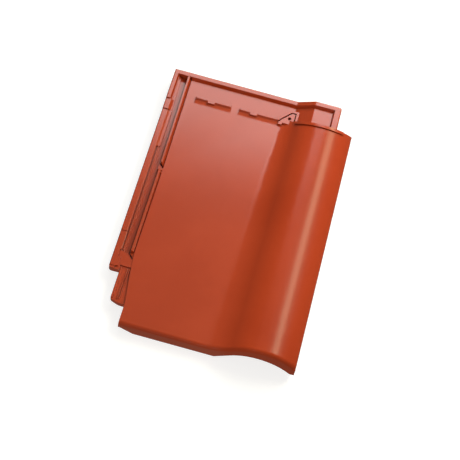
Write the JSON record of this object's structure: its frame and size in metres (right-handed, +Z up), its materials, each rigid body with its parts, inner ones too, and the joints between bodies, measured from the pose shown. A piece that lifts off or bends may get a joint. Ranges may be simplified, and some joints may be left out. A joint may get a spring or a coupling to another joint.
{
  "type": "interlocking clay roof tile",
  "caption": "Interlocking clay pan tile: flat pan with a raised side roll, side and head locks, nail boss and bullnosed foot edge.",
  "frame": {"origin": "middle of the tile's footprint, at the level floor that the foot lip and the hanging nibs lie on", "axes": "+Y along the tile from its foot edge to its head edge, +X from the side lock to the roll, +Z up through the face"},
  "size_m": [0.279, 0.43, 0.0501],
  "materials": {
    "fired_clay": "satin terracotta engobe on the face, matt clay beneath"
  },
  "bodies": {
    "root": {"pan_tile": "fired_clay"}
  },
  "joints": []
}
